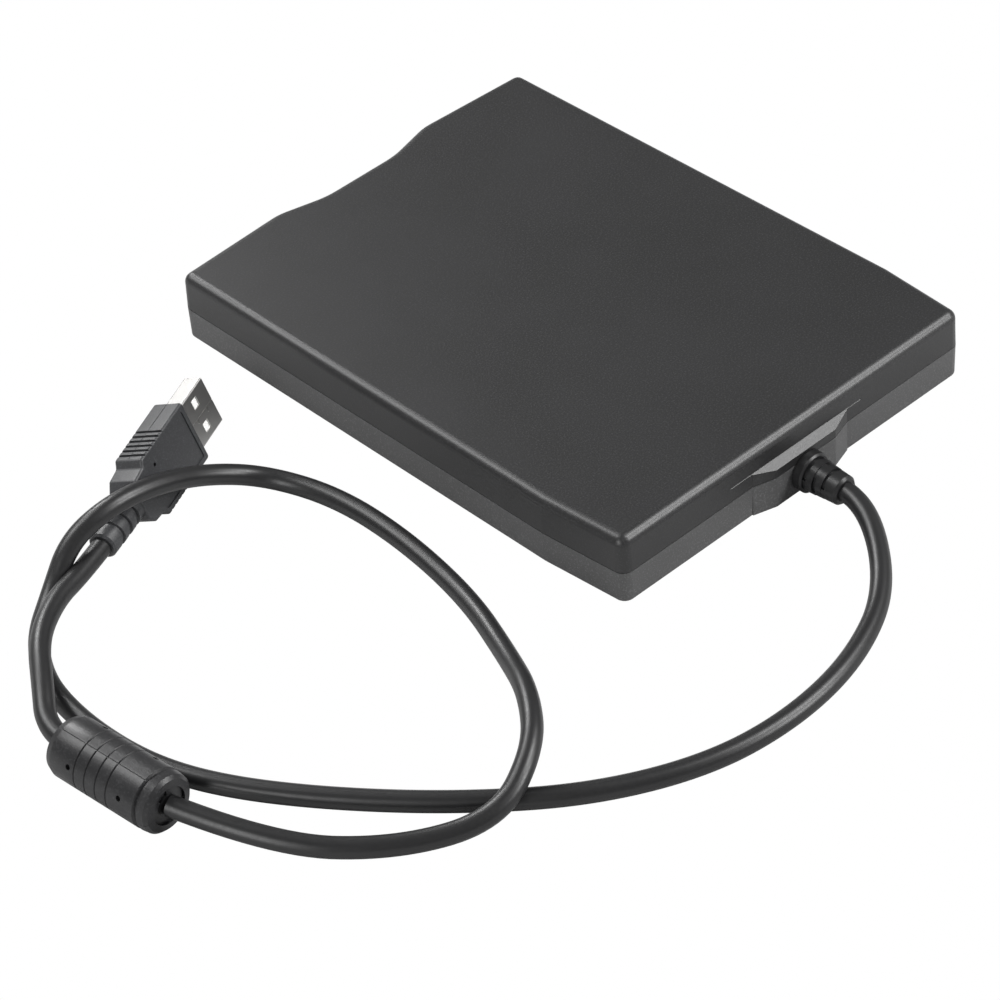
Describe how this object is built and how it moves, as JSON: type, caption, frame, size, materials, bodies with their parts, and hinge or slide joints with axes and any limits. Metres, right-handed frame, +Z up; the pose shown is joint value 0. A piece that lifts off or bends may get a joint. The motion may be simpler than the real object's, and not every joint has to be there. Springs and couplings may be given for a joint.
{
  "type": "external floppy disk drive",
  "caption": "Slim black external floppy disk drive with a front slot, eject button and flap, and a cable with a ferrite bead ending in a flat rectangular plug.",
  "frame": {"origin": "on the table under the middle of the case in plan", "axes": "+Z up; -Y toward the disk slot; +X to the right seen from the front"},
  "size_m": [0.2207, 0.191, 0.0185],
  "materials": {
    "case_upper": "matte",
    "case_lower": "matte",
    "dark_plastic": "satin",
    "lens": "gloss",
    "rubber": "matte",
    "screw_steel": "satin",
    "steel_sheet": "satin",
    "board": "satin",
    "brass": "satin",
    "head_ceramic": "satin",
    "chip": "matte",
    "socket": "satin",
    "cord": "satin",
    "leads": "satin",
    "bead": "satin",
    "ferrite": "matte",
    "plug_mould": "matte",
    "insulator": "satin",
    "plug_metal": "satin"
  },
  "bodies": {
    "case": {"bottom_cover": "case_lower", "top_cover": "case_upper", "front_bezel": "case_lower", "lamp_lens": "lens", "rubber_feet": "rubber", "case_screws": "screw_steel", "chassis_screws": "screw_steel", "chassis": "steel_sheet", "top_brace": "steel_sheet", "motor_board": "board", "spindle_bearing": "brass", "stepper_motor": "steel_sheet", "screw_support": "steel_sheet", "guide_rods": "screw_steel", "rod_clips": "dark_plastic", "control_board": "board", "bridge_board": "board", "board_chips": "chip", "board_sockets": "socket", "drive_cord": "cord", "plug_cord": "cord", "strain_relief": "cord", "cable_leads": "leads", "bead_cover_left": "bead", "bead_cover_right": "bead", "bead_core": "ferrite", "bead_cord": "cord", "plug_body": "plug_mould", "plug_relief": "plug_mould", "plug_shell": "plug_metal", "plug_tongue": "insulator", "plug_contacts": "brass"},
    "flap": {"door_flap": "dark_plastic"},
    "slider": {"cam_slide": "steel_sheet", "eject_button": "dark_plastic"},
    "holder": {"disk_holder": "steel_sheet"},
    "lever": {"shutter_lever": "steel_sheet"},
    "spindle": {"spindle_rotor": "steel_sheet"},
    "screw": {"lead_screw": "screw_steel"},
    "carriage": {"head_carriage": "dark_plastic", "lower_head": "head_ceramic"},
    "arm": {"upper_arm": "dark_plastic", "upper_head": "head_ceramic"}
  },
  "joints": [
    {"name": "eject_slide", "type": "slide", "parent": "case", "child": "slider", "axis": [0, -1, 0], "range_m": [0, 0.0055]},
    {"name": "holder_drop", "type": "slide", "parent": "case", "child": "holder", "axis": [0, 0, -1], "range_m": [0, 0.0024]},
    {"name": "arm_lift", "type": "hinge", "parent": "carriage", "child": "arm", "pos_m": [0, 0.0552, 0.0126], "axis": [1, 0, 0], "range_deg": [0, 10]},
    {"name": "flap_swing", "type": "hinge", "parent": "case", "child": "flap", "pos_m": [0, -0.0635, 0.014], "axis": [1, 0, 0], "range_deg": [0, 80], "stiffness_Nm_per_rad": 0.004, "springref_deg": -17.19},
    {"name": "lever_swing", "type": "hinge", "parent": "holder", "child": "lever", "pos_m": [-0.038, 0.02, 0.0142], "axis": [0, 0, 1], "range_deg": [0, 50], "stiffness_Nm_per_rad": 0.002, "springref_deg": -17.19},
    {"name": "spindle_spin", "type": "hinge", "parent": "case", "child": "spindle", "pos_m": [0, -0.009, 0.005], "axis": [0, 0, 1], "continuous": true},
    {"name": "carriage_slide", "type": "slide", "parent": "case", "child": "carriage", "axis": [0, -1, 0], "range_m": [0, 0.0148]},
    {"name": "screw_turn", "type": "hinge", "parent": "case", "child": "screw", "pos_m": [0.0165, 0.045, 0.0084], "axis": [0, -1, 0], "range_deg": [0, 1421.5]}
  ],
  "couplings": [
    {"joint": "holder_drop", "follows": "eject_slide", "ratio": 0.43636},
    {"joint": "arm_lift", "follows": "eject_slide", "rad_per_m": 31.733},
    {"joint": "screw_turn", "follows": "carriage_slide", "rad_per_m": 1675.5}
  ]
}
